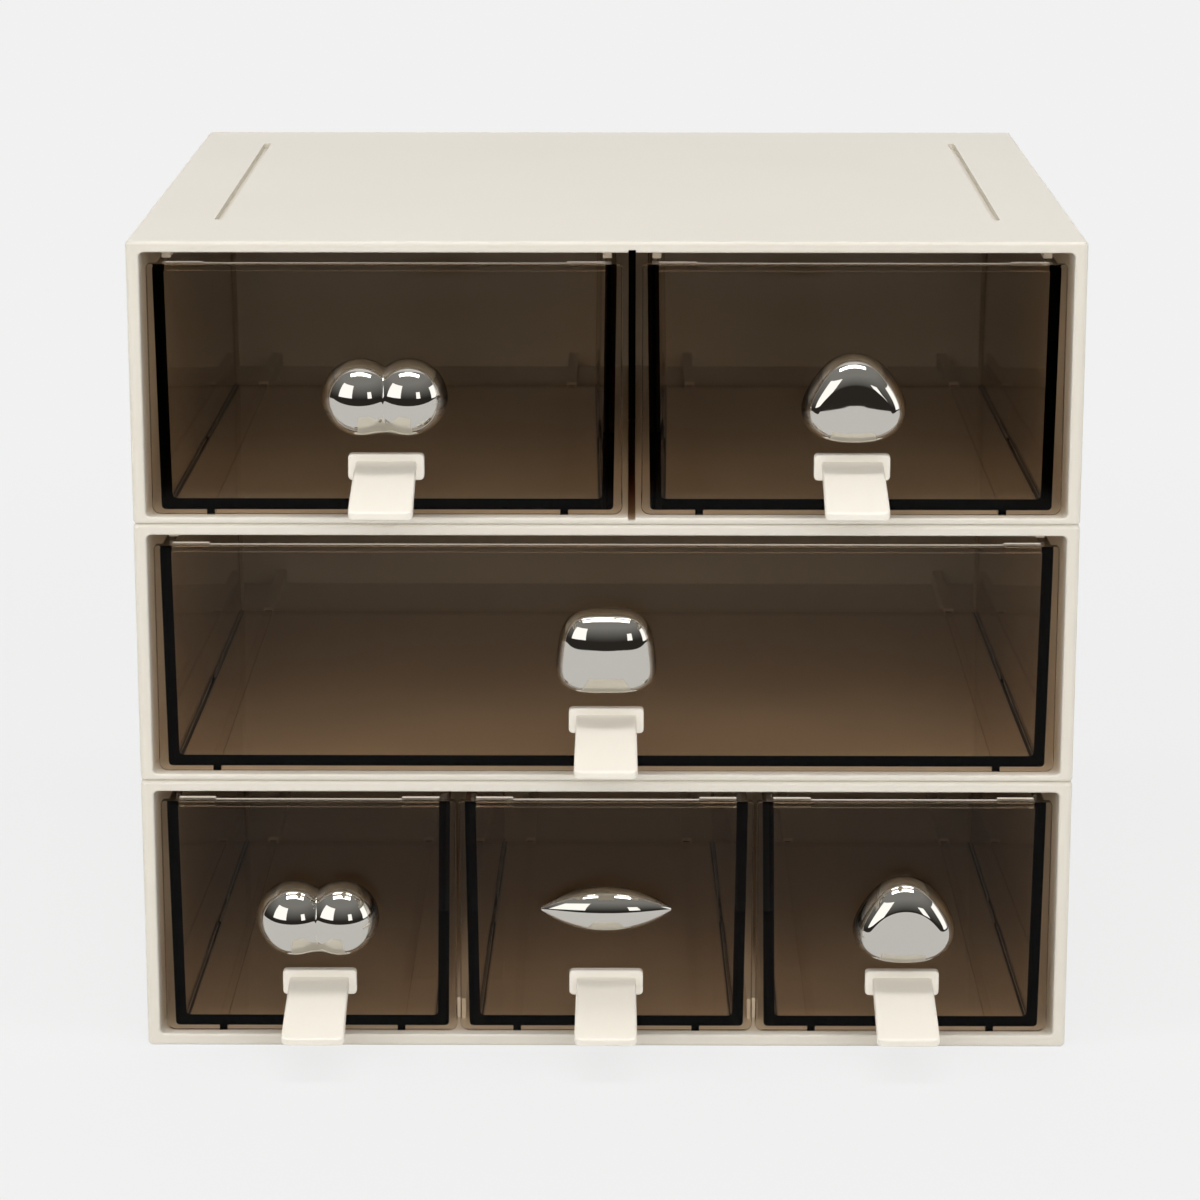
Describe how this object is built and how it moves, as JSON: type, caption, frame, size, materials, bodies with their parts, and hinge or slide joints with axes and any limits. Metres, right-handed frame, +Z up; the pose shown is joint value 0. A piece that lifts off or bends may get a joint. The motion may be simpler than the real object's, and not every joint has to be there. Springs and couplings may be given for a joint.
{
  "type": "desk drawer organizer",
  "caption": "Stackable desktop drawer tower: open-front cream cases with see-through smoked drawers that slide out, chrome knobs and drooping finger tabs.",
  "frame": {"origin": "on the desk, under the middle of the whole outline, pull tabs included", "axes": "+X to the right seen from the front, +Y from the drawer fronts to the back, +Z up"},
  "size_m": [0.26, 0.2488, 0.2306],
  "materials": {
    "cream_abs": "fine matt moulded ABS, warm ivory",
    "cream_tab": "smooth moulded ABS, warm ivory",
    "smoked_styrene": "clear polystyrene tinted smoky brown, glossy",
    "chrome_plate": "mirror chrome plating",
    "screw_steel": "zinc-plated steel"
  },
  "bodies": {
    "bottom_tier": {"case_bottom": "cream_abs"},
    "middle_tier": {"case_middle": "cream_abs"},
    "top_tier": {"case_top": "cream_abs", "top_divider": "smoked_styrene"},
    "bottom_left_drawer": {"drawer_bottom_left": "smoked_styrene", "knob_bottom_left": "chrome_plate", "knob_screw_bottom_left": "screw_steel", "pull_tab_bottom_left": "cream_tab"},
    "bottom_center_drawer": {"drawer_bottom_center": "smoked_styrene", "knob_bottom_center": "chrome_plate", "knob_screw_bottom_center": "screw_steel", "pull_tab_bottom_center": "cream_tab"},
    "bottom_right_drawer": {"drawer_bottom_right": "smoked_styrene", "knob_bottom_right": "chrome_plate", "knob_screw_bottom_right": "screw_steel", "pull_tab_bottom_right": "cream_tab"},
    "middle_drawer": {"drawer_middle": "smoked_styrene", "knob_middle": "chrome_plate", "knob_screw_middle": "screw_steel", "pull_tab_middle": "cream_tab"},
    "top_left_drawer": {"drawer_top_left": "smoked_styrene", "knob_top_left": "chrome_plate", "knob_screw_top_left": "screw_steel", "pull_tab_top_left": "cream_tab"},
    "top_right_drawer": {"drawer_top_right": "smoked_styrene", "knob_top_right": "chrome_plate", "knob_screw_top_right": "screw_steel", "pull_tab_top_right": "cream_tab"}
  },
  "joints": [
    {"name": "middle_tier_lift", "type": "slide", "parent": "bottom_tier", "child": "middle_tier", "axis": [0, 0, 1], "range_m": [0, 0.05]},
    {"name": "top_tier_lift", "type": "slide", "parent": "middle_tier", "child": "top_tier", "axis": [0, 0, 1], "range_m": [0, 0.05]},
    {"name": "bottom_left_drawer_slide", "type": "slide", "parent": "bottom_tier", "child": "bottom_left_drawer", "axis": [0, -1, 0], "range_m": [0, 0.12]},
    {"name": "bottom_center_drawer_slide", "type": "slide", "parent": "bottom_tier", "child": "bottom_center_drawer", "axis": [0, -1, 0], "range_m": [0, 0.12]},
    {"name": "bottom_right_drawer_slide", "type": "slide", "parent": "bottom_tier", "child": "bottom_right_drawer", "axis": [0, -1, 0], "range_m": [0, 0.12]},
    {"name": "middle_drawer_slide", "type": "slide", "parent": "middle_tier", "child": "middle_drawer", "axis": [0, -1, 0], "range_m": [0, 0.12]},
    {"name": "top_left_drawer_slide", "type": "slide", "parent": "top_tier", "child": "top_left_drawer", "axis": [0, -1, 0], "range_m": [0, 0.12]},
    {"name": "top_right_drawer_slide", "type": "slide", "parent": "top_tier", "child": "top_right_drawer", "axis": [0, -1, 0], "range_m": [0, 0.12]}
  ]
}
